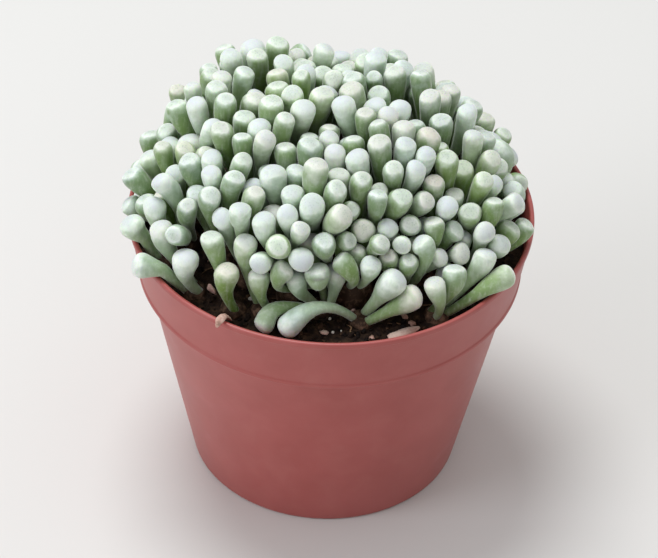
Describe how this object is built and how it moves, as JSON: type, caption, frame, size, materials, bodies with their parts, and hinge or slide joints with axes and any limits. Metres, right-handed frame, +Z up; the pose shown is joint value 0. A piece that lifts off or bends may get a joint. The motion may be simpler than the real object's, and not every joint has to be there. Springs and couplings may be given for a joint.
{
  "type": "potted succulent plant",
  "caption": "Domed clump of club-shaped succulent leaves, baby toes, filling a round tapered plastic nursery pot with a rim band.",
  "frame": {"origin": "middle of the pot's flat underside, where it rests", "axes": "+Z up along the pot's axis; -Y is the side with the lowest leaves, which faces the camera in the picture; +X is to the right seen from there"},
  "size_m": [0.1205, 0.1222, 0.1299],
  "materials": {
    "pot_plastic": "satin",
    "peat_mix": "matte",
    "leaf_skin": "satin",
    "dry_leaf_skin": "matte"
  },
  "bodies": {
    "root": {"pot": "pot_plastic", "soil": "peat_mix", "head_01": "leaf_skin", "head_02": "leaf_skin", "head_03": "leaf_skin", "head_04": "leaf_skin", "head_05": "leaf_skin", "head_06": "leaf_skin", "head_07": "leaf_skin", "head_08": "leaf_skin", "head_09": "leaf_skin", "head_10": "leaf_skin", "head_11": "leaf_skin", "head_12": "leaf_skin", "head_13": "leaf_skin", "head_14": "leaf_skin", "head_15": "leaf_skin", "head_16": "leaf_skin", "head_17": "leaf_skin", "head_18": "leaf_skin", "head_19": "leaf_skin", "head_20": "leaf_skin", "head_21": "leaf_skin", "head_22": "leaf_skin", "head_23": "leaf_skin", "head_24": "leaf_skin", "head_25": "leaf_skin", "head_26": "leaf_skin", "head_27": "leaf_skin", "head_28": "leaf_skin", "head_29": "leaf_skin", "head_30": "leaf_skin", "head_31": "leaf_skin", "head_32": "leaf_skin", "head_33": "leaf_skin", "head_34": "leaf_skin", "head_35": "leaf_skin", "head_36": "leaf_skin", "head_37": "leaf_skin", "head_38": "leaf_skin", "head_39": "leaf_skin", "head_40": "leaf_skin", "dry_leaf_1": "dry_leaf_skin", "dry_leaf_2": "dry_leaf_skin", "dry_leaf_3": "dry_leaf_skin"}
  },
  "joints": []
}
